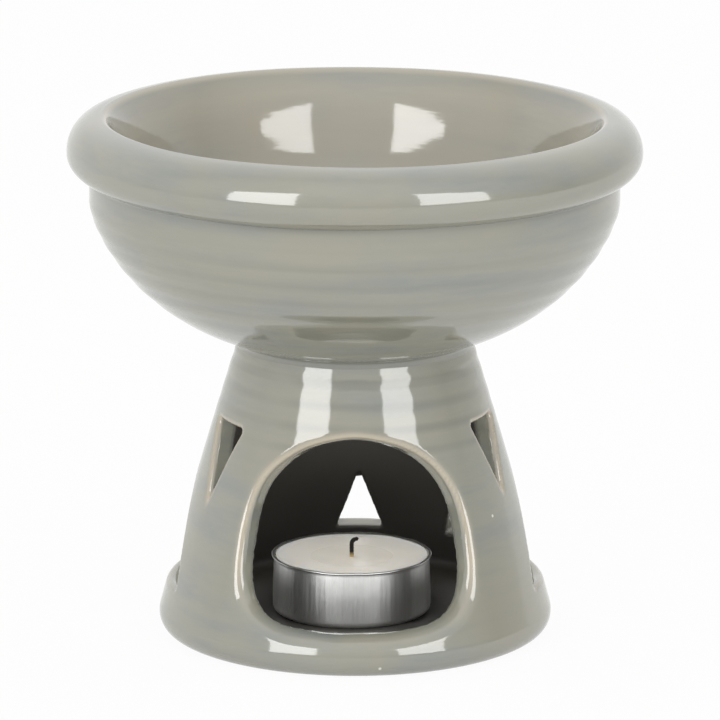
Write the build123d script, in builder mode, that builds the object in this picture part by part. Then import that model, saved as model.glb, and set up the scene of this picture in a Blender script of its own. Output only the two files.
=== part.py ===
from build123d import *
import os
from math import acos, cos, degrees, radians, sin

# Essential oil burner: a deep glazed bowl luted on a pierced conical stand, with a tealight inside.
# Millimetres, +Z up. The origin is on the table, on the axis of the bowl. The arch faces -Y.

# Bowl
bowl_radius = 62.0           # body just under the rolled rim
bowl_depth = 35.7            # from the shoulder to where the round underside would close on the axis
bowl_width_power = 2.6       # how square the body's curve is, across and down
bowl_height_power = 1.46
collar_height = 11.7         # from the shoulder up to where the roll is widest
rim_inset = 3.0              # from the body in to the centre of the roll
rim_half_width = 8.3
rim_upper_height = 8.5       # the roll is taller above its widest place than below
rim_lower_height = 5.8
lip_radius = 1.6             # where the top of the roll turns down into the well
lip_lean = 38.0              # degrees from upright, how far the well flares out at the lip
groove_fillet = 1.2          # glaze lying in the groove under the roll
bowl_wall = 9.0              # how much less the radius of the well's curve is than the body's
well_drop = 4.0              # how far below the rim the well's curve would be upright
well_flare_turn = 26.0       # degrees, where the well leaves its curve and flares out to the lip
well_width_power = 2.2
well_height_power = 1.95
bowl_floor = 5.8             # thickness of the bowl over the stand

# Stand
stand_height = 70.75         # table to the seat of the bowl
neck_radius = 27.3           # outside, where the bowl sits on it
stand_wall = 5.0             # measured level
foot_round_height = 6.6      # where the cone starts to turn in to the foot
foot_round_radius = 46.0
foot_tuck = 4.0              # how far the foot turns in
foot_ring_width = 6.0
foot_recess = 1.2            # hollow of the underside within the ring
floor_thickness = 3.7
floor_fillet = 2.5
seam_reach = 1.5             # luting slip smoothed into the crease under the bowl
seam_hollow_radius = 2.0

# Openings in the stand. The arch's widths are at the gauge distance from the axis.
gauge = 32.0
arch_half_width = 28.2       # at its widest height
arch_rise = 22.5             # from the widest height to the top
arch_side_height = 21.0      # from the sill to the widest height
arch_side_drop = 10.0        # how far the sides keep their width below the widest height
sill_rise = 5.1              # sill over the floor
sill_half_width = 12.0       # level part of the sill
sill_corner_reach = 10.0     # how far the round corners draw in
arch_edge_radius = 1.8
vent_corner_radius = 1.0
vent_edge_radius = 1.2
high_vent_base = 53.6        # pair of vents with the point down, beside the arch
high_vent_height = 17.4
high_vent_width = 12.6
high_vent_azimuths = (-65.5, 68.0)
low_vent_base = 14.2         # vents with the point up, round the back
low_vent_height = 15.2
low_vent_width = 11.4
low_vent_azimuths = (138.0, 178.5, -134.0)
side_vent_base = 14.2        # larger ones at the two sides
side_vent_height = 22.6
side_vent_width = 25.0
side_vent_azimuths = (-90.0, 90.5)
plain_azimuth = 117.0        # where the wall has no opening

# Tealight
tealight_x = -0.8            # where it stands on the floor
tealight_y = -2.0
cup_radius = 18.75
cup_height = 13.8
cup_wall = 0.35
cup_floor = 0.4
cup_corner_radius = 1.6
cup_hem = 0.25               # how far the rolled hem stands out
cup_hem_height = 0.6
wax_clearance = 0.15
wax_below_rim = 0.7
wax_dish_radius = 9.5        # shallow melt pool round the wick
wax_dish_depth = 0.7
sustainer_radius = 7.5
sustainer_thickness = 0.3
sustainer_neck_radius = 1.5
sustainer_neck_height = 3.0
wick_radius = 0.6
wick_stem_above_wax = 3.4
wick_bend_radius = 1.2
wick_bend_angle = 75.0
wick_tip_length = 0.8

same_radius = 0.01           # edges within this of a radius are taken to have it


def superellipse(radius, top, bottom, width_power, height_power, turn):
    # A point of a rounded wall: turn 0 is the wall at its top, turn 90 the axis at its bottom.
    across = radius * cos(radians(turn)) ** (2 / width_power)
    down = (top - bottom) * sin(radians(turn)) ** (2 / height_power)
    return across, top - down


def facing_plane(azimuth, distance):
    # Upright plane that faces outwards. Azimuth 0 is the front, -Y, and 90 is +X.
    s, c = sin(radians(azimuth)), cos(radians(azimuth))
    return Plane(origin=(distance * s, -distance * c, 0), x_dir=(c, s, 0), z_dir=(s, -c, 0))


def profile_plane(azimuth):
    # Upright plane through the axis, with its x along the azimuth.
    s, c = sin(radians(azimuth)), cos(radians(azimuth))
    return Plane(origin=(0, 0, 0), x_dir=(s, -c, 0), z_dir=(-c, -s, 0))


def round_edge(piece, radius):
    # The circular edges of a piece that have this radius.
    circles = piece.edges().filter_by(GeomType.CIRCLE)
    return circles.filter_by(lambda edge: abs(edge.radius - radius) < same_radius)


# The bowl is trimmed flat where its round underside meets the neck, and sits there on the stand.
seat_turn = degrees(acos((neck_radius / bowl_radius) ** (bowl_width_power / 2)))
seat_drop = bowl_depth * sin(radians(seat_turn)) ** (2 / bowl_height_power)
bowl_shoulder = stand_height + seat_drop
bowl_underside = bowl_shoulder - bowl_depth
bowl_curve = (bowl_radius, bowl_shoulder, bowl_underside, bowl_width_power, bowl_height_power)
rim_radius = bowl_radius - rim_inset
rim_height = bowl_shoulder + collar_height
rim_top = rim_height + rim_upper_height
well_radius = bowl_radius - bowl_wall
well_floor = stand_height + bowl_floor
well_curve = (well_radius, rim_top - well_drop, well_floor, well_width_power, well_height_power)
groove_turn = degrees(acos(rim_inset / rim_half_width))
curve_steps = 6
tangent_step = 0.01           # degrees, small enough to give the curve's direction

with BuildPart() as bowl:
    with BuildSketch(profile_plane(plain_azimuth)):
        with BuildLine():
            body_turns = [seat_turn * step / curve_steps for step in range(curve_steps + 1)]
            body = Spline([superellipse(*bowl_curve, turn) for turn in body_turns])
            rim_centre = (rim_radius, rim_height)
            roll_foot = EllipticalCenterArc(
                rim_centre, rim_half_width, rim_lower_height, -groove_turn, arc_size=groove_turn
            )
            EllipticalCenterArc(rim_centre, rim_half_width, rim_upper_height, 0, arc_size=90)
            Line(body @ 0, roll_foot @ 0)
            lip = CenterArc((rim_radius, rim_top - lip_radius), lip_radius, 90, 90 - lip_lean)
            well_turn = 90 - well_flare_turn
            well_turns = [well_flare_turn + well_turn * step / curve_steps for step in range(curve_steps + 1)]
            well_points = [lip @ 1] + [superellipse(*well_curve, turn) for turn in well_turns]
            Spline(well_points, tangents=[lip % 1, (-1, 0)])
            Polyline(well_points[-1], (0, stand_height), (neck_radius, stand_height))
        make_face()
    revolve(axis=Axis.Z)
    fillet(round_edge(bowl, bowl_radius).sort_by(Axis.Z)[-1], groove_fillet)

cone_slope = (foot_round_radius - neck_radius) / (stand_height - foot_round_height)
foot_rest_radius = foot_round_radius - foot_tuck
floor_height = foot_recess + floor_thickness
sill_height = floor_height + sill_rise
arch_widest_height = sill_height + arch_side_height
inner_neck_radius = neck_radius - stand_wall
inner_floor_radius = inner_neck_radius + cone_slope * (stand_height - floor_height)
cut_near = inner_neck_radius / 2    # the cuts reach from inside the hollow to beyond the foot
cut_far = foot_round_radius + stand_wall


def arch_cut():
    # Horseshoe arch, cut square to the wall: half an ellipse over its widest height, and sides that
    # round into a level sill.
    with BuildPart() as cut:
        for distance in (cut_near, cut_far):
            spread = distance / gauge
            half_width = arch_half_width * spread
            half_sill = sill_half_width * spread
            corner = half_sill + sill_corner_reach * spread
            side_end = arch_widest_height - arch_side_drop
            rise = arch_rise + (distance - gauge) * cone_slope
            with BuildSketch(facing_plane(0, distance)):
                with BuildLine():
                    EllipticalCenterArc((0, arch_widest_height), half_width, rise, 0, arc_size=180)
                    for side in (1, -1):
                        Bezier(
                            (side * half_width, arch_widest_height),
                            (side * half_width, side_end),
                            (side * corner, sill_height),
                            (side * half_sill, sill_height),
                        )
                    Line((-half_sill, sill_height), (half_sill, sill_height))
                make_face()
        loft()
    return cut.part


def vent_cut(azimuth, base_height, tip_height, width):
    # Triangle with rounded corners, its base and its point at the given heights.
    with BuildPart() as cut:
        with BuildSketch(facing_plane(azimuth, cut_near)) as outline:
            with BuildLine():
                Polyline((-width / 2, base_height), (width / 2, base_height), (0, tip_height), close=True)
            make_face()
            fillet(outline.vertices(), vent_corner_radius)
        extrude(amount=cut_far - cut_near)
    return cut.part


vent_kinds = (
    (high_vent_azimuths, high_vent_base, high_vent_base - high_vent_height, high_vent_width),
    (low_vent_azimuths, low_vent_base, low_vent_base + low_vent_height, low_vent_width),
    (side_vent_azimuths, side_vent_base, side_vent_base + side_vent_height, side_vent_width),
)
vent_cuts = [vent_cut(azimuth, *sizes) for azimuths, *sizes in vent_kinds for azimuth in azimuths]
arch = arch_cut()

with BuildPart() as stand:
    with BuildSketch(profile_plane(plain_azimuth)):
        with BuildLine():
            ring_inside = foot_rest_radius - foot_ring_width
            Spline(
                (foot_round_radius, foot_round_height),
                (foot_rest_radius, 0),
                tangents=[(cone_slope, -1), (-1, 0)],
            )
            Polyline(
                (foot_rest_radius, 0),
                (ring_inside, 0),
                (ring_inside - foot_recess, foot_recess),
                (0, foot_recess),
                (0, floor_height),
                (inner_floor_radius, floor_height),
                (inner_neck_radius, stand_height),
                (neck_radius, stand_height),
                (foot_round_radius, foot_round_height),
            )
        make_face()
    revolve(axis=Axis.Z)
    fillet(round_edge(stand, inner_floor_radius), floor_fillet)
    add(arch, mode=Mode.SUBTRACT)
    for cut in vent_cuts:
        add(cut, mode=Mode.SUBTRACT)
    outer_wall = stand.faces().filter_by(GeomType.CONE).sort_by(SortBy.AREA)[-1]
    lips = sorted(outer_wall.inner_wires(), key=lambda wire: wire.length)
    for lip_edges in lips[:-1]:
        fillet(lip_edges.edges(), vent_edge_radius)
    fillet(lips[-1].edges(), arch_edge_radius)

with BuildPart() as luting_seam:
    with BuildSketch(profile_plane(plain_azimuth)):
        with BuildLine():
            crease = Vector(neck_radius, stand_height)
            down_cone = Vector(cone_slope, -1).normalized()
            along_bowl = Vector(*superellipse(*bowl_curve, seat_turn - tangent_step)) - crease
            low_end = tuple(crease + down_cone * seam_reach)[:2]
            high_end = tuple(crease + along_bowl.normalized() * seam_reach)[:2]
            RadiusArc(low_end, high_end, seam_hollow_radius)
            Polyline(low_end, (neck_radius, stand_height), high_end)
        make_face()
    revolve(axis=Axis.Z)
    add(bowl.part, mode=Mode.SUBTRACT)

tealight_axis = Axis((tealight_x, tealight_y, 0), (0, 0, 1))
tealight_plane = Plane(origin=(tealight_x, tealight_y, floor_height), x_dir=(1, 0, 0), z_dir=(0, -1, 0))
cup_inner_radius = cup_radius - cup_wall
wax_radius = cup_inner_radius - wax_clearance
wax_top = cup_height - wax_below_rim

with BuildPart() as tealight_cup:
    with BuildSketch(tealight_plane):
        with BuildLine():
            hem_radius = cup_radius + cup_hem
            Polyline(
                (0, 0),
                (cup_radius, 0),
                (cup_radius, cup_height - cup_hem_height),
                (hem_radius, cup_height - cup_hem_height),
                (hem_radius, cup_height),
                (cup_inner_radius, cup_height),
                (cup_inner_radius, cup_floor),
                (0, cup_floor),
                close=True,
            )
        make_face()
    revolve(axis=tealight_axis)
    fillet(round_edge(tealight_cup, cup_radius).sort_by(Axis.Z)[0], cup_corner_radius)
    fillet(round_edge(tealight_cup, cup_inner_radius).sort_by(Axis.Z)[0], cup_corner_radius - cup_wall)
    fillet(round_edge(tealight_cup, hem_radius), cup_hem / 2)

with BuildPart() as wick_sustainer:
    with BuildSketch(tealight_plane):
        with BuildLine():
            neck_top = cup_floor + sustainer_thickness + sustainer_neck_height
            disc_top = cup_floor + sustainer_thickness
            Polyline(
                (0, cup_floor),
                (sustainer_radius, cup_floor),
                (sustainer_radius, disc_top),
                (sustainer_neck_radius, disc_top),
                (sustainer_neck_radius, neck_top),
                (wick_radius, neck_top),
                (wick_radius, disc_top),
                (0, disc_top),
                close=True,
            )
        make_face()
    revolve(axis=tealight_axis)

with BuildPart() as wick:
    with BuildLine(tealight_plane) as wick_path:
        stem = Line((0, disc_top), (0, wax_top - wax_dish_depth + wick_stem_above_wax))
        bend = JernArc(stem @ 1, stem % 1, wick_bend_radius, -wick_bend_angle)
        Line(bend @ 1, bend @ 1 + (bend % 1) * wick_tip_length)
    with BuildSketch(Plane(origin=stem @ 0, z_dir=stem % 0)):
        Circle(wick_radius)
    sweep(path=wick_path.line)

with BuildPart() as wax:
    with BuildSketch(tealight_plane):
        with BuildLine():
            Spline((wax_dish_radius, wax_top), (0, wax_top - wax_dish_depth), tangents=[(-1, 0), (-1, 0)])
            Polyline(
                (0, wax_top - wax_dish_depth),
                (0, cup_floor),
                (wax_radius, cup_floor),
                (wax_radius, wax_top),
                (wax_dish_radius, wax_top),
            )
        make_face()
    revolve(axis=tealight_axis)
    fillet(round_edge(wax, wax_radius).sort_by(Axis.Z)[0], cup_corner_radius)
    add(wick_sustainer.part, mode=Mode.SUBTRACT)
    add(wick.part, mode=Mode.SUBTRACT)

pieces = {
    "bowl": bowl,
    "stand": stand,
    "luting_seam": luting_seam,
    "tealight_cup": tealight_cup,
    "wax": wax,
    "wick": wick,
    "wick_sustainer": wick_sustainer,
}
os.makedirs("parts", exist_ok=True)
for name, piece in pieces.items():
    piece.part.label = name
    export_step(piece.part, f"parts/{name}.step")
print(f"bowl shoulder {bowl_shoulder:.2f} mm above the table, cone slope {cone_slope:.4f}")
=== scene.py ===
from math import cos, pi, radians, sin

import bmesh
import bpy
import numpy as np
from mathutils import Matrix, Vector


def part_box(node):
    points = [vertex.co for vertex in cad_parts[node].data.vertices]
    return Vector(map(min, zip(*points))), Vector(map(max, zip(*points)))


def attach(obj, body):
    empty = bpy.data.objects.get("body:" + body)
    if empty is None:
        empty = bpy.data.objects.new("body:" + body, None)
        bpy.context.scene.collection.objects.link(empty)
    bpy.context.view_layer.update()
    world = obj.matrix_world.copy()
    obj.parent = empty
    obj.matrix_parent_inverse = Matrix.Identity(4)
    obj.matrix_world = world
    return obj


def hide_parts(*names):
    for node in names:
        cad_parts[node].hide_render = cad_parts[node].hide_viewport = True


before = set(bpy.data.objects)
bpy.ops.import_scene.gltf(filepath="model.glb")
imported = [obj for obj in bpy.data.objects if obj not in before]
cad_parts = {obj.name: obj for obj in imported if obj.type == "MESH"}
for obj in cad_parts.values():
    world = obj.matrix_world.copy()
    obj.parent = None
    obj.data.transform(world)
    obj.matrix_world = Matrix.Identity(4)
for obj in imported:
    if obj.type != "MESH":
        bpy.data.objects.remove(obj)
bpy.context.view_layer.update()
mm = 0.001   # shapes are worked out in millimetres and put into meshes in metres

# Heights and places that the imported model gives
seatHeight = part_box("bowl")[0].z / mm
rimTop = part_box("bowl")[1].z / mm
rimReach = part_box("bowl")[1].x / mm
cupLow, cupHigh = (np.array(corner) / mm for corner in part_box("tealight_cup"))
cupCentre = (cupLow + cupHigh) / 2
floorHeight = cupLow[2]
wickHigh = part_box("wick")[1].z / mm
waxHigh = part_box("wax")[1].z / mm
print("frame: seat", round(seatHeight, 2), "rim", round(rimTop, 2), "tealight floor", round(floorHeight, 2))


# Helpers for shapes

def fade(value, start, reach):
    # 0 before the start, then rising to 1 over the reach; with a negative reach it rises downwards
    return np.clip((value - start) / reach, 0, 1)


def ease(share):
    # 0 to 1 with a soft start and a soft end
    return share * share * (3 - 2 * share)


def bell(value, middle, width):
    # 1 at the middle, falling away on both sides
    return np.exp(-((value - middle) / width) ** 2)


def ripple(points, size, seed):
    # smooth unevenness: the mean of waves in seeded directions, each about the given size in mm long
    waves = 7
    swing = 1.9   # brings the mean of the waves back to about -1 to 1
    draw = np.random.default_rng(seed)
    ways = draw.normal(size=(waves, 3))
    ways /= np.linalg.norm(ways, axis=1)[:, None]
    lengths = size * draw.uniform(0.7, 1.4, waves)
    phases = draw.uniform(0, 2 * pi, waves)
    return swing * np.sin(points @ (ways / lengths[:, None]).T * 2 * pi + phases).mean(axis=-1)


def turnsRound(count):
    # angles right round, without the last one, which would repeat the first
    return np.arange(count) / count * 2 * pi


def around(r, turn, z, centre=(0, 0)):
    # points at radius r and height z about an upright line; turn 0 is at the front and grows to the right
    x = centre[0] + r * np.sin(turn)
    y = centre[1] - r * np.cos(turn)
    return np.stack(np.broadcast_arrays(x, y, z), -1)


def cornerArc(centre, radius, start, end, count):
    turn = np.radians(np.linspace(start, end, count))
    return np.stack([centre[0] + radius * np.cos(turn), centre[1] + radius * np.sin(turn)], 1)


def respace(points, count, weights=None):
    # the same path with this many points, evenly spaced, or closer together where the weight is high
    if weights is None:
        weights = np.ones(len(points))
    step = np.linalg.norm(np.diff(points, axis=0), axis=1) * (weights[1:] + weights[:-1]) / 2
    places = np.concatenate([[0], np.cumsum(step)])
    even = np.linspace(0, places[-1], count)
    return np.stack([np.interp(even, places, points[:, k]) for k in range(points.shape[1])], 1)


def soften(points, width):
    # running mean along an evenly spaced path, which rounds its corners; the ends stay
    kernel = np.hanning(width + 2)[1:-1]
    kernel /= kernel.sum()
    half = width // 2
    padded = np.pad(points, ((half, half), (0, 0)), "edge")
    soft = np.stack([np.convolve(padded[:, k], kernel, "valid") for k in range(points.shape[1])], 1)
    soft[0], soft[-1] = points[0], points[-1]
    return soft


def gridFaces(rows, columns, closeRows=False):
    # quads of a grid whose columns go right round
    r = np.arange(rows if closeRows else rows - 1)[:, None]
    c = np.arange(columns)[None, :]
    nextR, nextC = (r + 1) % rows, (c + 1) % columns
    quads = (r * columns + c, r * columns + nextC, nextR * columns + nextC, nextR * columns + c)
    return np.stack(np.broadcast_arrays(*quads), -1).reshape(-1, 4).tolist()


# Helpers for pieces

def addObject(name, data):
    made = bpy.data.objects.new(name, data)
    bpy.context.scene.collection.objects.link(made)
    return made


def markVertices(mesh, marks):
    # one float per vertex for each mark, which the materials read
    for name, values in marks.items():
        layer = mesh.attributes.new(name, "FLOAT", "POINT")
        layer.data.foreach_set("value", np.asarray(values, np.float32).ravel())


def shadeSmooth(mesh):
    mesh.polygons.foreach_set("use_smooth", np.ones(len(mesh.polygons), bool))


def meshObject(name, points, faces, marks):
    # points in mm become a smooth mesh in metres, with its poles closed and its faces outward
    mesh = bpy.data.meshes.new(name)
    mesh.from_pydata(points.reshape(-1, 3) * mm, [], faces)
    markVertices(mesh, marks)
    work = bmesh.new()
    work.from_mesh(mesh)
    bmesh.ops.remove_doubles(work, verts=work.verts, dist=1e-7)
    bmesh.ops.recalc_face_normals(work, faces=work.faces)
    work.to_mesh(mesh)
    work.free()
    shadeSmooth(mesh)
    return addObject(name, mesh)


def dress(piece, material, body, slot, *nodes):
    # material, the body it rides on, a slot that is not used, and the CAD nodes it stands for
    piece.data.materials.clear()
    piece.data.materials.append(material)
    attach(piece, body)
    if nodes:
        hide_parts(*nodes)
    print("piece:", piece.name, len(piece.data.polygons), "faces")


# Materials. Of a Mix node's sockets, 6 and 7 are its two colours, and output 2 is the mixed one.

def feed(tree, node, inputs):
    # each socket is fed by another socket or holds a plain value
    for key, value in inputs.items():
        if isinstance(value, bpy.types.NodeSocket):
            tree.links.new(value, node.inputs[key])
        else:
            node.inputs[key].default_value = value
    return node


def addNode(tree, kind, settings, inputs):
    # one node, with its settings and what its sockets take
    made = tree.nodes.new(kind)
    for key, value in settings.items():
        setattr(made, key, value)
    return feed(tree, made, inputs)


def newMaterial(name):
    made = bpy.data.materials.new(name)
    made.use_nodes = True
    return made, made.node_tree, made.node_tree.nodes["Principled BSDF"]


def linear(hexColour):
    # sRGB hex to the linear colour a socket takes
    parts = np.array([int(hexColour[i:i + 2], 16) for i in (1, 3, 5)]) / 255
    curve = np.where(parts <= 0.04045, parts / 12.92, ((parts + 0.055) / 1.055) ** 2.4)
    return (*curve, 1)


def perMillimetre(size):
    # texture scale for a feature of this size in mm, since coordinates are in metres
    return 1 / (size * mm)


glazeLook = dict(
    body="#929286",        # grey-green where the coat is even
    thick="#828683",       # cooler where it ran thick
    warm="#959282",        # warmer where it is thin
    breaksAndPaintedLight="#C4B7A1",      # cream where it breaks over an edge; on the bowl, painted highlight along the lip and painted light in the well
    pooled="#70726A",      # darker where it lies in a groove
    paintedShade="#383631",        # painted shade: the inside of the chamber, darkened
    clay="#B9A88F",        # bare clay of the foot
    speck="#DAD7CC",       # pinholes and specks
    roughness=0.075, dullRoughness=0.55, ior=1.95,
    streakTall=5.0, streakLong=34.0, streakSpan=(0.42, 0.68), streakMost=0.75,
    cloud=26.0, cloudSpan=(0.42, 0.66), cloudMost=0.8,
    speckPitch=15.0, speckChance=0.45, speckSpan=(0.016, 0.03),   # where a speck ends, in pitches
    lineDepth=0.06, lineStrength=0.5, peel=3.2, peelDepth=0.03, peelStrength=0.4,
)


def stonewareGlaze(look):
    # Glazed stoneware: poured glaze over throwing lines, glassy, with faint level streaks, cream edges and
    # a few pinholes. Scales and depths are real sizes in mm.
    made, tree, shader = newMaterial("stoneware_glaze")
    place = addNode(tree, "ShaderNodeTexCoord", {}, {}).outputs["Object"]
    flat = look["streakTall"] / look["streakLong"]
    level = addNode(tree, "ShaderNodeMapping", {}, {"Vector": place, "Scale": (flat, flat, 1)}).outputs[0]
    streak = addNode(tree, "ShaderNodeTexNoise", {}, {
        "Vector": level, "Scale": perMillimetre(look["streakTall"]), "Detail": 4.0, "Roughness": 0.6,
    }).outputs["Fac"]
    cloud = addNode(tree, "ShaderNodeTexNoise", {}, {
        "Vector": place, "Scale": perMillimetre(look["cloud"]), "Detail": 3.0,
    }).outputs["Fac"]

    # streaks of thick glaze, then clouds of thin glaze, over the even coat
    colour = linear(look["body"])
    for tone, noise, span, most in (
        ("thick", streak, look["streakSpan"], look["streakMost"]),
        ("warm", cloud, look["cloudSpan"], look["cloudMost"]),
    ):
        share = addNode(tree, "ShaderNodeMapRange", {}, {
            "Value": noise, "From Min": span[0], "From Max": span[1], "To Max": most,
        }).outputs[0]
        colour = addNode(tree, "ShaderNodeMix", {"data_type": "RGBA"}, {
            "Factor": share, 6: colour, 7: linear(look[tone]),
        }).outputs[2]

    # pinholes and specks: small spots in some of the cells of a loose net
    cells = addNode(tree, "ShaderNodeTexVoronoi", {}, {
        "Vector": place, "Scale": perMillimetre(look["speckPitch"]),
    }).outputs
    draw = addNode(tree, "ShaderNodeSeparateColor", {}, {"Color": cells["Color"]}).outputs["Red"]
    chosen = addNode(tree, "ShaderNodeMath", {"operation": "LESS_THAN"}, {
        0: draw, 1: look["speckChance"],
    }).outputs[0]
    spot = addNode(tree, "ShaderNodeMapRange", {}, {
        "Value": cells["Distance"], "From Min": look["speckSpan"][0], "From Max": look["speckSpan"][1],
        "To Min": 1.0, "To Max": 0.0,
    }).outputs[0]
    speck = addNode(tree, "ShaderNodeMath", {"operation": "MULTIPLY"}, {0: chosen, 1: spot}).outputs[0]
    colour = addNode(tree, "ShaderNodeMix", {"data_type": "RGBA"}, {
        "Factor": speck, 6: colour, 7: linear(look["speck"]),
    }).outputs[2]

    # what the shape says: groove, edge, painted shade in the chamber, painted light on the bowl's lip and in
    # its well, and bare clay, worked out per vertex
    shares = {}
    for key in ("pooled", "breaksAndPaintedLight", "paintedShade", "clay"):
        shares[key] = addNode(tree, "ShaderNodeAttribute", {"attribute_name": key}, {}).outputs["Fac"]
        colour = addNode(tree, "ShaderNodeMix", {"data_type": "RGBA"}, {
            "Factor": shares[key], 6: colour, 7: linear(look[key]),
        }).outputs[2]
    dull = addNode(tree, "ShaderNodeMath", {"operation": "MAXIMUM"}, {
        0: shares["paintedShade"], 1: shares["clay"],
    }).outputs[0]
    rough = addNode(tree, "ShaderNodeMapRange", {}, {
        "Value": dull, "To Min": look["roughness"], "To Max": look["dullRoughness"],
    }).outputs[0]

    # glaze never lies quite flat: level lines left by the wheel, and a fine peel
    peel = addNode(tree, "ShaderNodeTexNoise", {}, {
        "Vector": place, "Scale": perMillimetre(look["peel"]), "Detail": 1.0,
    }).outputs["Fac"]
    lines = addNode(tree, "ShaderNodeBump", {}, {
        "Height": streak, "Strength": look["lineStrength"], "Distance": look["lineDepth"] * mm,
    }).outputs[0]
    skin = addNode(tree, "ShaderNodeBump", {}, {
        "Height": peel, "Strength": look["peelStrength"], "Distance": look["peelDepth"] * mm,
        "Normal": lines,
    }).outputs[0]
    feed(tree, shader, {"Base Color": colour, "Roughness": rough, "IOR": look["ior"], "Normal": skin})
    return made


foilLook = dict(
    metal="#F6F6F4", shade="#E6E6E3", shadeSpan=(0.35, 0.75), shadeMost=0.6, roughness=(0.32, 0.48),
    drawn=0.35, drawnTall=14.0, drawnDepth=0.04, drawnStrength=0.35,
    dent=7.0, dentDepth=0.3, dentStrength=0.3,
)


def drawnFoil(look):
    # Aluminium foil pressed into a cup: bright metal with upright drawing lines, too fine to show at their
    # real width, so they are drawn 0.35 mm apart.
    made, tree, shader = newMaterial("drawn_aluminium_foil")
    place = addNode(tree, "ShaderNodeTexCoord", {}, {}).outputs["Object"]
    flat = look["drawn"] / look["drawnTall"]
    upright = addNode(tree, "ShaderNodeMapping", {}, {"Vector": place, "Scale": (1, 1, flat)}).outputs[0]
    lines = addNode(tree, "ShaderNodeTexNoise", {}, {
        "Vector": upright, "Scale": perMillimetre(look["drawn"]), "Detail": 2.0,
    }).outputs["Fac"]
    dents = addNode(tree, "ShaderNodeTexNoise", {}, {
        "Vector": place, "Scale": perMillimetre(look["dent"]), "Detail": 2.0,
    }).outputs["Fac"]
    share = addNode(tree, "ShaderNodeMapRange", {}, {
        "Value": lines, "From Min": look["shadeSpan"][0], "From Max": look["shadeSpan"][1],
        "To Max": look["shadeMost"],
    }).outputs[0]
    colour = addNode(tree, "ShaderNodeMix", {"data_type": "RGBA"}, {
        "Factor": share, 6: linear(look["metal"]), 7: linear(look["shade"]),
    }).outputs[2]
    rough = addNode(tree, "ShaderNodeMapRange", {}, {
        "Value": lines, "To Min": look["roughness"][0], "To Max": look["roughness"][1],
    }).outputs[0]
    ridge = addNode(tree, "ShaderNodeBump", {}, {
        "Height": lines, "Strength": look["drawnStrength"], "Distance": look["drawnDepth"] * mm,
    }).outputs[0]
    soft = addNode(tree, "ShaderNodeBump", {}, {
        "Height": dents, "Strength": look["dentStrength"], "Distance": look["dentDepth"] * mm,
        "Normal": ridge,
    }).outputs[0]
    feed(tree, shader, {"Base Color": colour, "Roughness": rough, "Metallic": 1.0, "Normal": soft})
    return made


waxLook = dict(
    set="#F3EEE4", pool="#ECE6DA", roughness=0.34, poolRoughness=0.2, ior=1.44,
    glow=0.5, glowDepth=(4.0, 3.4, 2.6),           # how far red, green and blue light go in
    grain=1.6, grainDepth=0.08, grainStrength=0.3,
)


def paraffin(look):
    # Paraffin wax: light goes a little way in, with a frosted top and a clearer melt pool round the wick.
    made, tree, shader = newMaterial("paraffin_wax")
    place = addNode(tree, "ShaderNodeTexCoord", {}, {}).outputs["Object"]
    frost = addNode(tree, "ShaderNodeTexNoise", {}, {
        "Vector": place, "Scale": perMillimetre(look["grain"]), "Detail": 3.0,
    }).outputs["Fac"]
    pool = addNode(tree, "ShaderNodeAttribute", {"attribute_name": "pool"}, {}).outputs["Fac"]
    colour = addNode(tree, "ShaderNodeMix", {"data_type": "RGBA"}, {
        "Factor": pool, 6: linear(look["set"]), 7: linear(look["pool"]),
    }).outputs[2]
    rough = addNode(tree, "ShaderNodeMapRange", {}, {
        "Value": pool, "To Min": look["roughness"], "To Max": look["poolRoughness"],
    }).outputs[0]
    skin = addNode(tree, "ShaderNodeBump", {}, {
        "Height": frost, "Strength": look["grainStrength"], "Distance": look["grainDepth"] * mm,
    }).outputs[0]
    feed(tree, shader, {
        "Base Color": colour, "Roughness": rough, "IOR": look["ior"], "Normal": skin,
        "Subsurface Weight": look["glow"], "Subsurface Scale": 1.0,
        "Subsurface Radius": [depth * mm for depth in look["glowDepth"]],
    })
    return made


wickLook = dict(
    char="#15130F", root="#C4AC78", roughness=0.9, strand=0.3, strandDepth=0.08, strandStrength=0.6,
)


def charredCotton(look):
    # Braided cotton: matt, black where it has burnt and straw-coloured where it comes out of the wax.
    made, tree, shader = newMaterial("charred_cotton")
    place = addNode(tree, "ShaderNodeTexCoord", {}, {}).outputs["Object"]
    fluff = addNode(tree, "ShaderNodeTexNoise", {}, {
        "Vector": place, "Scale": perMillimetre(look["strand"]), "Detail": 2.0,
    }).outputs["Fac"]
    root = addNode(tree, "ShaderNodeAttribute", {"attribute_name": "root"}, {}).outputs["Fac"]
    colour = addNode(tree, "ShaderNodeMix", {"data_type": "RGBA"}, {
        "Factor": root, 6: linear(look["char"]), 7: linear(look["root"]),
    }).outputs[2]
    skin = addNode(tree, "ShaderNodeBump", {}, {
        "Height": fluff, "Strength": look["strandStrength"], "Distance": look["strandDepth"] * mm,
    }).outputs[0]
    feed(tree, shader, {"Base Color": colour, "Roughness": look["roughness"], "Normal": skin})
    return made


tinLook = dict(metal="#A8A69F", roughness=(0.28, 0.48), grain=0.5)


def tinplate(look):
    # Tinplate: a dull grey metal with a fine rolled grain.
    made, tree, shader = newMaterial("tinplate")
    place = addNode(tree, "ShaderNodeTexCoord", {}, {}).outputs["Object"]
    grain = addNode(tree, "ShaderNodeTexNoise", {}, {
        "Vector": place, "Scale": perMillimetre(look["grain"]), "Detail": 2.0,
    }).outputs["Fac"]
    rough = addNode(tree, "ShaderNodeMapRange", {}, {
        "Value": grain, "To Min": look["roughness"][0], "To Max": look["roughness"][1],
    }).outputs[0]
    feed(tree, shader, {"Base Color": linear(look["metal"]), "Roughness": rough, "Metallic": 1.0})
    return made


glaze = stonewareGlaze(glazeLook)
foil = drawnFoil(foilLook)
wax = paraffin(waxLook)
cotton = charredCotton(wickLook)
tin = tinplate(tinLook)
print("materials: 5")


# Bowl

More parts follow.
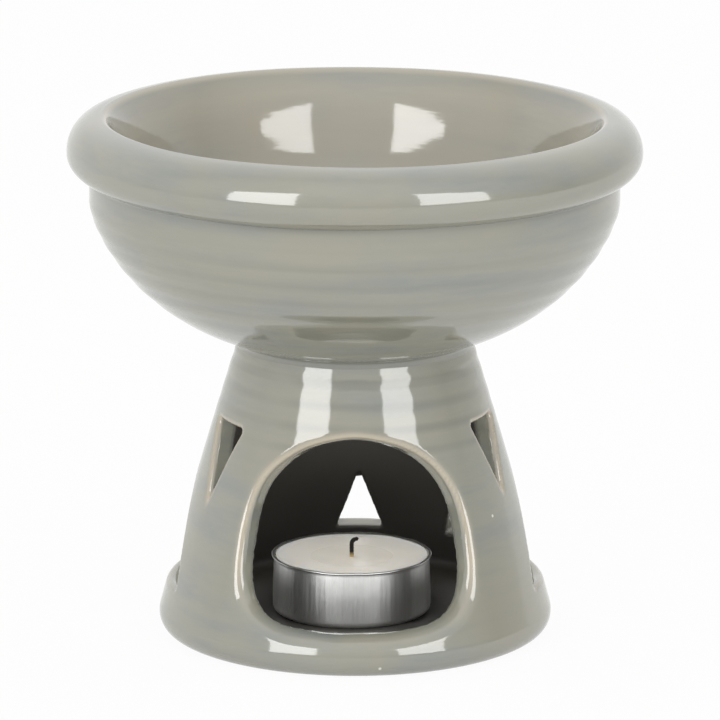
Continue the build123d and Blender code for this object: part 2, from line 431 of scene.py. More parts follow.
bowlShape = dict(
    radius=62.0, depth=35.7, widthPower=2.6, heightPower=1.46,        # body under the roll
    neckRadius=27.3,
    rimHalfWidth=8.3, rimUpper=8.5, grooveDrop=13.9, rimPower=2.12,   # the roll is widest below its middle
    lipRadius=1.6, lipLean=38.0,                                      # inner edge of the rim
    wall=9.0, wellDrop=4.0, wellWidthPower=2.2, wellHeightPower=1.95, wellFlare=26.0, floor=5.8,
    ringPitch=4.6, ringDepth=0.07, ringTop=4.0, ringTopFade=6.0, ringFoot=7.0, ringFootFade=8.0,
    wellRingPitch=6.0, wellRingDepth=0.014, wellRingTop=10.0, wellRingFade=8.0,
    uneven=0.10, unevenSize=38.0, unevenSeed=4, axisFade=15.0, edgeFade=4.0,
    rollIn=0.9,                                    # the roll moves in only, to keep its reach
    warp=0.55, warpTowards=105.0, warpLow=12.0, warpFade=24.0,        # the rim sinks a little at the right
    pooled=0.6, pooledReach=1.1, ringPool=3.0,                        # glaze in the groove and the rings
    lipHighlight=0.4, lipHighlightReach=0.8, lipHighlightIn=1.2, lipHighlightDown=0.4,   # painted highlight along the inner edge of the lip, in the cream colour
    paintedWellLight=0.27, paintedWellLightFade=5.0,               # painted light: the inside of the well is tinted lighter, from the rim down
    outlinePoints=4000, cornerWidth=45,            # the wider, the rounder the section's corners
    rows=250, columns=300, fineRows=1.6, fineFrom=6.0, fineReach=8.0,   # closer rows round the roll
)


def bowlOutline(s):
    # the bowl's section, from the middle of the underside, up the body, over the roll and down the well
    t = np.linspace(0, 1, 400)[:, None]

    def bend(turns, radius, top, bottom, widthPower, heightPower):
        # superellipse: across goes as cosine and down as sine, each to a power
        across = radius * np.cos(turns) ** (2 / widthPower)
        return np.hstack([across, top - (top - bottom) * np.sin(turns) ** (2 / heightPower)])

    seatTurn = np.arccos((s["neckRadius"] / s["radius"]) ** (s["widthPower"] / 2))
    shoulder = seatHeight + s["depth"] * np.sin(seatTurn) ** (2 / s["heightPower"])
    underside = np.hstack([s["neckRadius"] * t[:-1], np.full_like(t[:-1], seatHeight)])
    body = bend(seatTurn * (1 - t), s["radius"], shoulder, shoulder - s["depth"],
                s["widthPower"], s["heightPower"])

    # the roll: half a superellipse that is taller above its widest place than below
    rimHeight = rimTop - s["rimUpper"]
    rimCentre = rimReach - s["rimHalfWidth"]
    power = 2 / s["rimPower"]
    grooveTurn = np.arccos(((s["radius"] - rimCentre) / s["rimHalfWidth"]) ** (1 / power))
    rimLower = (s["grooveDrop"] - s["rimUpper"]) / np.sin(grooveTurn) ** power
    turn = -grooveTurn + (grooveTurn + pi / 2) * t
    tall = np.where(turn > 0, s["rimUpper"], rimLower)
    across = s["rimHalfWidth"] * np.abs(np.cos(turn)) ** power
    up = np.sign(turn) * np.abs(np.sin(turn)) ** power
    roll = np.hstack([rimCentre + across, rimHeight + tall * up])

    lean = radians(s["lipLean"])
    turn = pi / 2 + (pi / 2 - lean) * t
    lipCentre = np.array([rimCentre, rimTop - s["lipRadius"]])
    lip = lipCentre + s["lipRadius"] * np.hstack([np.cos(turn), np.sin(turn)])
    flare = radians(s["wellFlare"])
    well = bend(flare + (pi / 2 - flare) * t, s["radius"] - s["wall"], rimTop - s["wellDrop"],
                seatHeight + s["floor"], s["wellWidthPower"], s["wellHeightPower"])

    # from the lip to the well: a cubic that leaves along one and arrives along the other
    reach = np.linalg.norm(well[0] - lip[-1])
    away = np.array([-sin(lean), -cos(lean)]) * reach
    home = (well[1] - well[0]) / np.linalg.norm(well[1] - well[0]) * reach
    wall = (2 * t ** 3 - 3 * t ** 2 + 1) * lip[-1] + (t ** 3 - 2 * t ** 2 + t) * away
    wall = wall + (3 * t ** 2 - 2 * t ** 3) * well[0] + (t ** 3 - t ** 2) * home
    path = np.concatenate([underside, body, roll, lip[1:], wall[1:], well[1:]])
    return soften(respace(path, s["outlinePoints"]), s["cornerWidth"]), roll[0]


def makeBowl(s):
    # The section carried round the axis. Each point moves along the section's normal by shallow throwing
    # rings, which climb one pitch per turn, and by a slow unevenness.
    path, groove = bowlOutline(s)
    nearRoll = bell(path[:, 0], rimReach - s["fineFrom"], s["fineReach"])
    nearRoll = nearRoll * (path[:, 1] > groove[1] - s["fineFrom"])
    path = respace(path, s["rows"], 1 + s["fineRows"] * nearRoll)
    slope = np.gradient(path, axis=0)
    slope /= np.linalg.norm(slope, axis=1)[:, None]
    turn = turnsRound(s["columns"])
    r, z = path.T[:, :, None]
    top = np.argmax(path[:, 1])
    outside = (np.arange(len(path)) < top)[:, None]

    onBody = outside * fade(z, groove[1] - s["ringTop"], -s["ringTopFade"])
    onBody = onBody * fade(z, seatHeight + s["ringFoot"], s["ringFootFade"])
    offAxis = fade(r, 0, s["axisFade"])
    inWell = (~outside) * fade(z, rimTop - s["wellRingTop"], -s["wellRingFade"]) * offAxis
    climb = turn / (2 * pi)
    rings = s["ringDepth"] * onBody * np.sin(2 * pi * (z / s["ringPitch"] + climb))
    rings = rings + s["wellRingDepth"] * inWell * np.sin(2 * pi * (z / s["wellRingPitch"] - climb))
    slow = ripple(around(r, turn, z), s["unevenSize"], s["unevenSeed"])
    slow = slow - s["rollIn"] * outside * fade(z, groove[1], s["edgeFade"])
    move = rings + s["uneven"] * slow * fade(z, seatHeight, s["edgeFade"]) * offAxis
    towards = (1 + np.cos(turn - radians(s["warpTowards"]))) / 2
    sink = s["warp"] * towards * fade(z, groove[1] - s["warpLow"], s["warpFade"])
    outR = r + slope[:, 1:] * move
    outZ = np.minimum(z - slope[:, :1] * move, rimTop) - sink

    grooveGap = np.hypot(r - groove[0], z - groove[1])
    pooled = s["pooled"] * bell(grooveGap, 0, s["pooledReach"]) - s["ringPool"] * np.minimum(rings, 0)
    pooled = np.clip(pooled * (1 + 0.5 * slow), 0, 1)
    # painted highlight: a cream line along the inner edge of the lip
    lipGap = np.hypot(r - path[top, 0] + s["lipHighlightIn"], z - rimTop + s["lipHighlightDown"])
    breaksAndPaintedLight = s["lipHighlight"] * bell(lipGap, 0, s["lipHighlightReach"])
    # painted light: the inside of the well tinted towards the cream colour
    breaksAndPaintedLight = np.maximum(breaksAndPaintedLight, s["paintedWellLight"] * (~outside) * fade(z, rimTop, -s["paintedWellLightFade"]))
    none = np.zeros_like(pooled)
    marks = dict(pooled=pooled, breaksAndPaintedLight=breaksAndPaintedLight + none, paintedShade=none, clay=none)
    return meshObject("bowl_glazed", around(outR, turn, outZ), gridFaces(s["rows"], s["columns"]), marks)


dress(makeBowl(bowlShape), glaze, "burner", "glaze", "bowl")


# Stand

standShape = dict(
    neckRadius=27.3, wall=5.0, footHeight=6.6, footRadius=46.0, footRound=6.4,
    recessRadius=36.0, recess=1.2, floorFillet=2.5,
    belly=0.28,                                    # how far the cone swells half way up
    ringPitch=5.05, ringDepth=0.03, ringTrough=65.8, ringTilt=0.02,   # throwing rings on the neck
    ringLow=47.0, ringLowFade=5.0, ringTop=1.0, ringTopFade=2.0,
    topRing=2.6, topRingHeight=67.0, topRingReach=2.4,                # the topmost is deeper by this share
    gauge=32.0, archHalf=28.2, archWidest=31.0, archRise=22.5, archDrop=21.2,
    archWidthPower=3.2, archDropPower=2.2, archTurn=8.0,   # how square the arch's foot is, and how soon
    archGrowFrom=0.5, archGrow=3.0,
    archLip=1.9, sillLip=3.2, ventCorner=1.0, ventLip=1.5, innerLip=0.6,
    archFrom=6.0, ventsFrom=8.0, far=30.0,         # how near the axis the cuts reach, and a distance off them
    vents=(                                        # azimuth, base, tip, width
        (-65.5, 52.6, 35.2, 12.6), (68.0, 53.6, 37.6, 12.2),
        (138.0, 15.4, 30.7, 11.4), (178.5, 15.4, 30.7, 11.4), (-134.0, 15.4, 30.7, 11.4),
        (-91.5, 13.0, 38.8, 29.0), (92.0, 13.0, 38.8, 29.0),
    ),
    burr=(-13.6, -26.2, 47.3), burrSize=1.3,       # scrap of clay left on the inner edge of the arch
    uneven=0.07, unevenSize=34.0, unevenSeed=9, handCut=0.22, handCutSize=16.0, handCutSeed=12,
    pooled=0.45, pooledSize=22.0, pooledSeed=17,
    breaksAndPaintedLight=0.9, breakDepth=0.55, breakReach=0.68, archBand=0.8,   # cream band, wider at the arch
    sillBreak=0.2, sillHeight=15.0, sillFade=9.0,  # the glaze runs thicker over the sill
    # the first value is how far from the hollow's walls the painted shade of the chamber reaches
    paintedShadeReach=1.2, bareClay=0.35, bareClayFade=0.3,
    voxel=0.75, relax=6, settle=3, moves=2, leastSlope=0.15, longestMove=0.6,
)


def roundMeet(a, b, radius):
    # distance to the space inside both a and b, with the edge where they meet rounded to the radius
    both = np.hypot(np.maximum(radius + a, 0), np.maximum(radius + b, 0))
    return np.minimum(-radius, np.maximum(a, b)) + both


def neckRings(s, p):
    # shallow troughs a thumb left round the neck, one pitch apart, fading out below
    z = p[:, 2] + s["ringTilt"] * p[:, 0]
    ringed = fade(z, s["ringLow"], s["ringLowFade"]) * fade(z, seatHeight - s["ringTop"], -s["ringTopFade"])
    deeper = 1 + s["topRing"] * bell(z, s["topRingHeight"], s["topRingReach"])
    return -ringed * deeper * np.cos(2 * pi * (z - s["ringTrough"]) / s["ringPitch"])


def coneSlope(s):
    # how much wider the cone gets for each mm down
    return (s["footRadius"] - s["neckRadius"]) / (seatHeight - s["footHeight"])


def archForm(s, p):
    # Below 0 in the arch. Widths grow with the distance from the axis; it is half an ellipse above, and turns
    # into a squarer curve below.
    reach = np.maximum(-p[:, 1], 1)
    across = np.abs(p[:, 0]) * s["gauge"] / (reach * s["archHalf"])
    rise = s["archRise"] + (reach - s["gauge"]) * coneSlope(s)
    under = s["archWidest"] - p[:, 2]
    tall = np.abs(under) / np.where(under > 0, s["archDrop"], rise)
    turned = ease(fade(under, 0, s["archTurn"]))
    widthPower = 2 + (s["archWidthPower"] - 2) * turned
    heightPower = 2 + (s["archDropPower"] - 2) * turned
    return across ** widthPower + tall ** heightPower - 1


def archDistance(s, p):
    # the form over its own steepness, which is a distance near the edge only, so it grows faster beyond
    step = 0.02
    cut = archForm(s, p)
    lean = np.stack([(archForm(s, p + step * axis) - cut) / step for axis in np.eye(3)])
    distance = cut / np.maximum(np.linalg.norm(lean, axis=0), 0.02)
    distance = distance * (1 + s["archGrow"] * np.maximum(cut - s["archGrowFrom"], 0))
    return np.where(-p[:, 1] > s["archFrom"], distance, s["far"])


def ventDistance(s, p, outward, azimuth, base, tip, width):
    # A triangle in the plane that faces the azimuth, with rounded corners, carried through the wall. One that
    # points up is cut square to the wall, one that points down is cut level.
    x, y, z = p.T
    a = radians(azimuth)
    side, out = x * cos(a) + y * sin(a), x * sin(a) - y * cos(a)
    tall = abs(tip - base)
    above = np.sign(tip - base) * (z - base)
    if tip > base:
        above = above - coneSlope(s) * outward
    edge = np.hypot(tall, width / 2)
    flanks = [(sign * side * tall + (above - tall) * width / 2) / edge for sign in (1, -1)]
    shape = roundMeet(roundMeet(*flanks, s["ventCorner"]), -above, s["ventCorner"])
    return shape, s["ventsFrom"] - out


def standParts(s, p):
    # Signed distances in mm, negative inside: the solid cone, its hollow, the arch and the vents.
    x, y, z = p.T
    rho = np.hypot(x, y)
    slope = coneSlope(s)
    steep = np.hypot(1, slope)
    outward = rho - s["neckRadius"] - slope * (seatHeight - z)
    share = fade(z, s["footHeight"], seatHeight - s["footHeight"])
    swell = s["belly"] * np.sin(pi * share) + s["ringDepth"] * neckRings(s, p)
    swell = swell + s["uneven"] * ripple(p, s["unevenSize"], s["unevenSeed"])
    cone = np.maximum(roundMeet((outward - swell) / steep, -z, s["footRound"]), z - seatHeight)
    recess = np.maximum(rho - s["recessRadius"] + z, z - s["recess"])
    cone = np.maximum(cone, -recess)
    hollow = roundMeet((outward + s["wall"]) / steep, floorHeight - z, s["floorFillet"])
    handCut = s["handCut"] * ripple(p, s["handCutSize"], s["handCutSeed"])
    vents = np.full(len(p), s["far"])
    for vent in s["vents"]:
        shape, inward = ventDistance(s, p, outward, *vent)
        vents = np.minimum(vents, np.maximum(shape + handCut, inward))
    return cone, hollow, archDistance(s, p) + handCut, vents


def standForm(s, p):
    # the cone, less the arch and vents with rounded lips, less the hollow, with a burr melted on
    cone, hollow, arch, vents = standParts(s, p)
    low = ease(fade(p[:, 2], s["archWidest"] - s["archTurn"], -s["archTurn"]))
    lip = s["archLip"] + (s["sillLip"] - s["archLip"]) * low
    solid = roundMeet(roundMeet(cone, -arch, lip), -vents, s["ventLip"])
    solid = roundMeet(solid, -hollow, s["innerLip"])
    burr = np.linalg.norm(p - np.array(s["burr"]), axis=1) - s["burrSize"]
    melt = fade(solid - burr, -1, 2)
    return solid * (1 - melt) + burr * melt - 0.5 * melt * (1 - melt)


def steepest(form, p):
    # value and gradient by central differences
    step = 0.03
    rises = [form(p + step * axis) - form(p - step * axis) for axis in np.eye(3)]
    return form(p), np.stack(rises, 1) / (2 * step)


def makeStand(s):
    # A fine skin of even quads over the CAD stand, then every vertex moved onto the stand's distance
    # formula, with the skin relaxed between moves.
    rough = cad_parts["stand"].copy()
    rough.data = rough.data.copy()
    rough.parent = None
    bpy.context.scene.collection.objects.link(rough)
    work = bmesh.new()
    work.from_mesh(rough.data)
    bmesh.ops.remove_doubles(work, verts=work.verts, dist=1e-6)
    work.to_mesh(rough.data)
    work.free()
    skin = rough.modifiers.new("skin", "REMESH")
    skin.mode = "VOXEL"
    skin.voxel_size = s["voxel"] * mm
    mesh = bpy.data.meshes.new_from_object(rough.evaluated_get(bpy.context.evaluated_depsgraph_get()))
    bpy.data.objects.remove(rough)
    count = len(mesh.vertices)
    p = np.empty(count * 3)
    mesh.vertices.foreach_get("co", p)
    p = p.reshape(-1, 3) / mm
    edges = np.empty(len(mesh.edges) * 2, int)
    mesh.edges.foreach_get("vertices", edges)
    a, b = edges.reshape(-1, 2).T
    degree = np.bincount(edges, minlength=count)[:, None]

    def form(q):
        return standForm(s, q)

    for turn in range(s["relax"] + s["settle"]):
        if turn < s["relax"]:
            near = [np.bincount(a, p[b, k], count) + np.bincount(b, p[a, k], count) for k in range(3)]
            p = p + 0.5 * (np.stack(near, 1) / degree - p)
        for again in range(s["moves"]):
            value, slope = steepest(form, p)
            size = np.maximum((slope ** 2).sum(1), s["leastSlope"])
            p = p - np.clip(value / size, -s["longestMove"], s["longestMove"])[:, None] * slope
    value, slope = steepest(form, p)
    print("stand: furthest vertex from its formula", round(float(np.abs(value).max()), 3), "mm")

    cone, hollow, arch, vents = standParts(s, p)
    z = p[:, 2]
    pooled = np.clip(-s["pooled"] * neckRings(s, p), 0, s["pooled"])
    pooled = pooled * (0.8 + 0.5 * ripple(p, s["pooledSize"], s["pooledSeed"]))
    lipGap = np.minimum(np.abs(arch) * s["archBand"], np.abs(vents))
    breaksAndPaintedLight = bell(lipGap, s["breakDepth"], s["breakReach"]) * bell(cone, -s["breakDepth"], s["breakReach"])
    aboveSill = s["sillBreak"] + (1 - s["sillBreak"]) * fade(z, s["sillHeight"], s["sillFade"])
    markVertices(mesh, dict(
        pooled=pooled,
        breaksAndPaintedLight=s["breaksAndPaintedLight"] * breaksAndPaintedLight * aboveSill,
        # painted shade: the inside of the hollow is coloured dark, and dulled
        paintedShade=fade(np.abs(hollow), s["paintedShadeReach"], -1) * (z < seatHeight - 0.2),
        clay=fade(z, s["bareClay"], -s["bareClayFade"]),
    ))
    mesh.vertices.foreach_set("co", (p * mm).ravel())
    shadeSmooth(mesh)
    mesh.update()
    mesh.normals_split_custom_set_from_vertices(slope / np.linalg.norm(slope, axis=1)[:, None])
    mesh.name = "stand_glazed"
    return addObject("stand_glazed", mesh)


dress(makeStand(standShape), glaze, "burner", "glaze", "stand")


# Luting seam

seamShape = dict(
    reach=1.9, deep=1.2, hollow=0.75, uneven=0.175, unevenSize=30.0, unevenSeed=21, pooled=0.5,
    arcPoints=12, columns=240,
)


def makeSeam(s, stand, bowl):
    # A hollow fillet carried round the neck: its visible side is a quarter curve from the cone to the bowl,
    # its back lies in the clay, and its reach varies round the pot.
    turn = turnsRound(s["columns"])
    crease = np.array([stand["neckRadius"], seatHeight])
    slope = coneSlope(stand)
    down = np.array([slope, -1]) / np.hypot(slope, 1)
    seatTurn = np.arccos((bowl["neckRadius"] / bowl["radius"]) ** (bowl["widthPower"] / 2))
    turns = np.array([seatTurn, seatTurn - 0.02])   # the seat, and a little way up the bowl
    across = bowl["radius"] * np.cos(turns) ** (2 / bowl["widthPower"])
    drop = bowl["depth"] * np.sin(turns) ** (2 / bowl["heightPower"])
    rise = np.array([across[1] - across[0], drop[0] - drop[1]])
    rise /= np.linalg.norm(rise)
    t = np.linspace(0, 1, s["arcPoints"])[:, None]
    middle = (1 - s["hollow"]) * (down + rise) / 2
    arc = (1 - t) ** 2 * down + 2 * (1 - t) * t * middle + t ** 2 * rise
    back = np.array([-s["deep"], 0]) / s["reach"]
    loop = np.concatenate([arc, [rise + back, back, down + back]])
    circle = np.stack([np.cos(turn), np.sin(turn), 0 * turn], 1) * stand["neckRadius"]
    size = s["reach"] * (1 + s["uneven"] * ripple(circle, s["unevenSize"], s["unevenSeed"]))
    r = crease[0] + loop[:, :1] * size
    z = crease[1] + loop[:, 1:] * size
    none = np.zeros_like(r)
    pooled = none.copy()
    pooled[:s["arcPoints"]] = s["pooled"]
    marks = dict(pooled=pooled, breaksAndPaintedLight=none, paintedShade=none, clay=none)
    return meshObject("luting_slip", around(r, turn, z), gridFaces(len(loop), s["columns"], True), marks)


dress(makeSeam(seamShape, standShape, bowlShape), glaze, "burner", "glaze", "luting_seam")


# Tealight

cupShape = dict(
    wall=0.35, floor=0.4, corner=1.6, insideCorner=1.25, hem=0.25, hemHeight=0.6, hemRound=0.83,
    lean=0.40,                                     # how far the wall leans in towards its rim
    flute=0.025, flutes=((1.0, 90, 0.0), (1.0, 37, 1.0)),   # share, count round the cup, phase
    rimWave=0.10, rimWaves=((0.5, 3, 0.6), (0.3, 7, 2.0), (0.2, 16, 4.0)),
    rimDip=0.06, rimDips=((1.0, 9, 1.0), (0.6, 23, 0.0)),
    columns=288,
)
hemReach = (cupHigh[0] - cupLow[0]) / 2


def sines(turn, parts):
    # sum of waves that close up round the cup
    return sum(share * np.sin(count * turn + phase) for share, count, phase in parts)


def makeCup(s):
    # The section of a foil cup carried round: base, rounded corner, wall with fine flutes, rolled hem, and
    # back down the inside. The hem waves a little.
    wallReach = hemReach - s["hem"]
    inside = wallReach - s["wall"]
    top, corner, turned = cupHigh[2], s["corner"], s["insideCorner"]
    wallLow, wallHigh = floorHeight + corner + 0.3, top - s["hemHeight"] - 0.2
    floorTop = floorHeight + s["floor"]
    section = np.concatenate([
        np.linspace((0, floorHeight), (wallReach - corner, floorHeight), 12),
        cornerArc((wallReach - corner, floorHeight + corner), corner, -84, 0, 12),
        np.linspace((wallReach, wallLow), (wallReach, wallHigh), 24),
        cornerArc((wallReach, top - s["hemHeight"] / 2), s["hemHeight"] / 2 * s["hemRound"], -75, 80, 12),
        np.linspace((inside, top - 0.1), (inside, floorTop + turned + 0.15), 20),
        cornerArc((inside - turned, floorTop + turned), turned, 0, -90, 8),
        np.linspace((inside - turned - 0.25, floorTop), (0, floorTop), 10),
    ])
    turn = turnsRound(s["columns"])
    r, z = section.T[:, :, None]
    share = fade(z, floorHeight, top - floorHeight)
    onWall = fade(r, inside - 0.6, 0.3)
    fluted = s["flute"] * onWall * sines(turn, s["flutes"]) * np.sin(pi * share)
    wave = s["rimWave"] * (share ** 4 * sines(turn, s["rimWaves"]) - 1)
    highest = sum(part for part, count, phase in s["rimDips"])
    dip = s["rimDip"] * share ** 12 * (sines(turn, s["rimDips"]) - highest)   # the hem only ever dips
    leaning = s["lean"] * share ** 2 * (z < top - s["hemHeight"] * 0.9)
    reach = np.minimum(r + (fluted + wave - leaning) * onWall, hemReach)
    points = around(reach, turn, z + dip, cupCentre)
    return meshObject("foil_cup", points, gridFaces(len(section), s["columns"]), {})


waxShape = dict(
    clearance=0.12, lift=0.1, corner=1.4,          # how it lies in the cup
    meniscus=0.35, meniscusReach=0.7273, poolRadius=9.5, poolDepth=0.4, poolEdge=2.0,
    uneven=0.06, unevenSize=9.0, unevenSeed=31, rows=90, columns=200,
)


def makeWax(s, cup):
    # The top is a height over the radius: a meniscus that climbs the foil, a flat ring, and a melt pool with
    # a soft edge. The side and base follow the inside of the cup.
    radius = hemReach - cup["hem"] - cup["wall"] - cup["lean"] - s["clearance"]
    base = floorHeight + cup["floor"] + s["lift"]
    corner = s["corner"]
    r = np.linspace(1, 0, s["rows"]) ** 0.8 * radius
    climb = s["meniscus"] * np.exp((r - radius) / s["meniscusReach"])
    pool = 1 / (1 + np.exp((r - s["poolRadius"]) / s["poolEdge"]))
    dish = s["poolDepth"] * pool * (0.75 + 0.25 * bell(r, 0, s["poolRadius"]))
    top = np.stack([r, waxHigh + climb - dish], 1)
    lower = np.concatenate([
        np.linspace((0, base), (radius - corner, base), 8),
        cornerArc((radius - corner, base + corner), corner, -85, -5, 8),
        np.linspace((radius, base + corner), top[0], 12, endpoint=False),
    ])
    path = np.concatenate([lower, top])
    turn = turnsRound(s["columns"])
    points = around(path[:, :1], turn, path[:, 1:], cupCentre)
    onTop = (np.arange(len(path)) >= len(lower))[:, None]
    points[..., 2] += s["uneven"] * onTop * ripple(points, s["unevenSize"], s["unevenSeed"])
    poolMark = np.concatenate([np.zeros(len(lower)), pool])
    marks = dict(pool=np.repeat(poolMark, s["columns"]))
    return meshObject("wax_fill", points, gridFaces(len(path), s["columns"]), marks)


wickShape = dict(
    radius=0.52, foot=4.0, bendRadius=1.2, bendAngle=75.0, tip=0.8, strand=0.13, twist=1.5,
    tipTaper=0.5, footTaper=0.2, sway=0.25, swayLength=3.1, swayFrom=5.0, swayFade=4.0,
    rootHeight=1.1, rootLift=0.2, rootShare=0.7,   # straw colour above the pool, on this share of its length
    rings=130, sides=24,
)


def makeWick(s):
    # A round section carried up the stem and over the bend. Two sets of strands wind round it in opposite
    # ways, and its ends draw in to a point.
    bend = radians(s["bendAngle"])
    stemTop = wickHigh - (s["bendRadius"] + s["radius"]) * sin(bend) - s["tip"] * cos(bend)
    stem = np.linspace((0, floorHeight + s["foot"]), (0, stemTop), 60)
    turn = np.linspace(0, bend, 40)[1:]
    arc = np.stack([s["bendRadius"] * (1 - np.cos(turn)), stemTop + s["bendRadius"] * np.sin(turn)], 1)
    end = arc[-1] + np.linspace(0, 1, 12)[1:, None] * s["tip"] * np.array([sin(bend), cos(bend)])
    path = respace(np.concatenate([stem, arc, end]), s["rings"])
    along = np.gradient(path, axis=0)
    along /= np.linalg.norm(along, axis=1)[:, None]
    length = np.concatenate([[0], np.cumsum(np.linalg.norm(np.diff(path, axis=0), axis=1))])[:, None]
    side = turnsRound(s["sides"])
    wind = 2 * pi * length / s["twist"]
    braid = np.maximum(np.sin(2 * side + wind), np.sin(2 * side - wind))
    taper = np.sqrt(fade(length, length[-1], -s["tipTaper"]) * fade(length, 0, s["footTaper"]))
    r = s["radius"] * taper * (1 - s["strand"] + s["strand"] * braid)
    sway = s["sway"] * np.sin(length / s["swayLength"]) * fade(length, s["swayFrom"], s["swayFade"])
    x = cupCentre[0] + path[:, :1] + along[:, 1:] * r * np.cos(side)
    y = cupCentre[1] + sway + r * np.sin(side)
    z = path[:, 1:] - along[:, :1] * r * np.cos(side)
    rootTop = waxHigh - waxShape["poolDepth"] + s["rootLift"] + s["rootHeight"]
    root = fade(path[:, 1], rootTop, -s["rootHeight"])
    root = np.where(np.arange(s["rings"]) < s["rings"] * s["rootShare"], root, 0)
    marks = dict(root=np.repeat(root, s["sides"]))
    return meshObject("braided_wick", np.stack([x, y, z], -1), gridFaces(s["rings"], s["sides"]), marks)


dress(makeCup(cupShape), foil, "tealight", "cup_foil", "tealight_cup")
dress(makeWax(waxShape, cupShape), wax, "candle", "wax", "wax")
dress(makeWick(wickShape), cotton, "candle", "wick", "wick")
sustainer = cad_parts["wick_sustainer"]
sustainer.data.materials.clear()
sustainer.data.materials.append(tin)


# Studio

studio = dict(
    softboxes=(                                    # place across, width, radiance
        ("left_softbox", -0.80, 0.79, 4.1), ("right_softbox", 0.89, 0.86, 3.5),
    ),
    distance=1.0, height=0.48, tall=0.72,          # they stand beside the camera and face the backdrop
    ambient=0.04, backdrop=1.05,                   # what the white room adds
    sides=0.52, sidesPower=4.0, leftMore=0.4,
    overhead=0.88, overheadUp=0.97, overheadFront=0.26,
    front=0.4,                                     # what shiny things show of the room before them
    glow=5.2, glowSize=26.0, glowHeight=60.0,      # light of the burning wick on the wax and the chamber
    floorSize=3.0, floorColour="#E2E2E0", floorRoughness=0.9, floorGlow=0.95,
)


def addPanel(name, place, facing, size, radiance):
    # a soft panel; its power is radiance times pi times its area
    light = bpy.data.lights.new(name, "AREA")
    light.shape = "RECTANGLE"
    light.size, light.size_y = size
    light.energy = radiance * pi * size[0] * size[1]
    panel = addObject(name, light)
    panel.location = place
    panel.rotation_euler = Vector(facing).to_track_quat("-Z", "Y").to_euler()
    panel.visible_camera = False
    return panel


def makeLights(s):
    for name, across, width, radiance in s["softboxes"]:
        addPanel(name, (across, -s["distance"], s["height"]), (0, 1, 0), (width, s["tall"]), radiance)
    flame = (cupCentre[0] * mm, cupCentre[1] * mm, s["glowHeight"] * mm)
    glow = addPanel("flame_glow", flame, (0, 0, -1), (s["glowSize"] * mm,) * 2, s["glow"])
    glow.visible_glossy = False


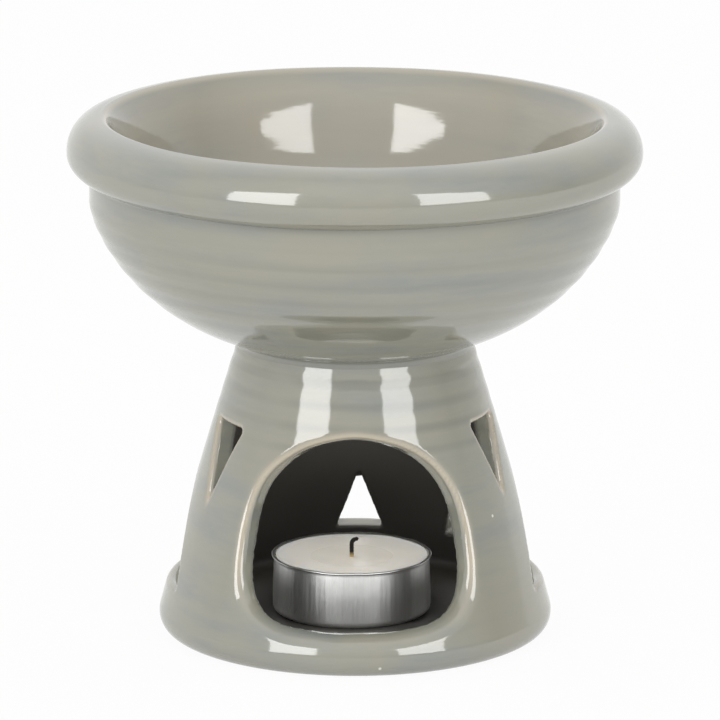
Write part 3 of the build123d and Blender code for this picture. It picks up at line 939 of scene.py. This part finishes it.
def makeRoom(s):
    # A white room, plain white to the camera. Its light is ambient, plus sides * |x|^sidesPower
    # * (1 - leftMore * x), plus backdrop * y, plus overhead * (overheadUp * z - overheadFront * y), and in
    # mirrors plus front * -y, where the last three are not below 0.
    world = bpy.data.worlds.new("white_studio")
    bpy.context.scene.world = world
    world.use_nodes = True
    tree = world.node_tree
    towards = addNode(tree, "ShaderNodeTexCoord", {}, {}).outputs["Generated"]
    axes = addNode(tree, "ShaderNodeSeparateXYZ", {}, {0: towards}).outputs
    rays = addNode(tree, "ShaderNodeLightPath", {}, {}).outputs
    found = dict(
        x=axes["X"], y=axes["Y"], z=axes["Z"], glossy=rays["Is Glossy Ray"],
        camera=rays["Is Camera Ray"], through=rays["Is Transmission Ray"],
    )
    for result, operation, *terms in (
        ("tilt", "MULTIPLY_ADD", "x", -s["leftMore"], 1.0),
        ("wide", "ABSOLUTE", "x"),
        ("wide", "POWER", "wide", s["sidesPower"]),
        ("wide", "MULTIPLY", "wide", "tilt"),
        ("room", "MULTIPLY_ADD", "wide", s["sides"], s["ambient"]),
        ("behind", "MAXIMUM", "y", 0.0),
        ("room", "MULTIPLY_ADD", "behind", s["backdrop"], "room"),
        ("above", "MULTIPLY", "y", -s["overheadFront"]),
        ("above", "MULTIPLY_ADD", "z", s["overheadUp"], "above"),
        ("above", "MAXIMUM", "above", 0.0),
        ("room", "MULTIPLY_ADD", "above", s["overhead"], "room"),
        ("before", "MULTIPLY", "y", -s["front"]),
        ("before", "MAXIMUM", "before", 0.0),
        ("room", "MULTIPLY_ADD", "before", "glossy", "room"),
        ("seen", "MAXIMUM", "camera", "through"),
    ):
        inputs = {place: found.get(term, term) for place, term in enumerate(terms)}
        found[result] = addNode(tree, "ShaderNodeMath", {"operation": operation}, inputs).outputs[0]
    strength = addNode(tree, "ShaderNodeMix", {"data_type": "FLOAT"}, {
        0: found["seen"], 2: found["room"], 3: 1.0,
    }).outputs[0]
    feed(tree, tree.nodes["Background"], {"Color": (1, 1, 1, 1), "Strength": strength})


def makeFloor(s):
    # White sweep of matt paper: pale, shown white to the camera and in mirrors, but it keeps the shadow.
    half = s["floorSize"] / 2
    corners = [(-half, -half, 0), (half, -half, 0), (half, half, 0), (-half, half, 0)]
    mesh = bpy.data.meshes.new("floor")
    mesh.from_pydata(corners, [], [(0, 1, 2, 3)])
    made, tree, shader = newMaterial("white_sweep")
    feed(tree, shader, {
        "Base Color": linear(s["floorColour"]), "Roughness": s["floorRoughness"], "Specular IOR Level": 0.0,
    })
    rays = addNode(tree, "ShaderNodeLightPath", {}, {}).outputs
    seen = addNode(tree, "ShaderNodeMath", {"operation": "MAXIMUM"}, {
        0: rays["Is Camera Ray"], 1: rays["Is Glossy Ray"],
    }).outputs[0]
    share = addNode(tree, "ShaderNodeMath", {"operation": "MULTIPLY"}, {
        0: seen, 1: s["floorGlow"],
    }).outputs[0]
    white = addNode(tree, "ShaderNodeEmission", {}, {"Color": (1, 1, 1, 1), "Strength": 1.0}).outputs[0]
    both = addNode(tree, "ShaderNodeMixShader", {}, {0: share, 1: shader.outputs[0], 2: white}).outputs[0]
    feed(tree, tree.nodes["Material Output"], {"Surface": both})
    mesh.materials.append(made)
    addObject("floor", mesh)


cameraPlace = dict(side=1.17, distance=1503.62, height=428.44, aimHeight=64.856, lens=329.54, sensor=36.0)


def makeCamera(c):
    lens = bpy.data.cameras.new("camera")
    lens.lens = c["lens"]
    lens.sensor_width = c["sensor"]
    lens.clip_start, lens.clip_end = 0.05, 20
    camera = addObject("camera", lens)
    camera.location = Vector((c["side"], -c["distance"], c["height"])) * mm
    aim = Vector((c["side"], 0, c["aimHeight"])) * mm
    camera.rotation_euler = (aim - camera.location).to_track_quat("-Z", "Y").to_euler()
    bpy.context.scene.camera = camera


makeLights(studio)
makeRoom(studio)
makeFloor(studio)
makeCamera(cameraPlace)
bpy.context.scene.view_settings.view_transform = "Standard"
print("studio: lights, floor and camera")
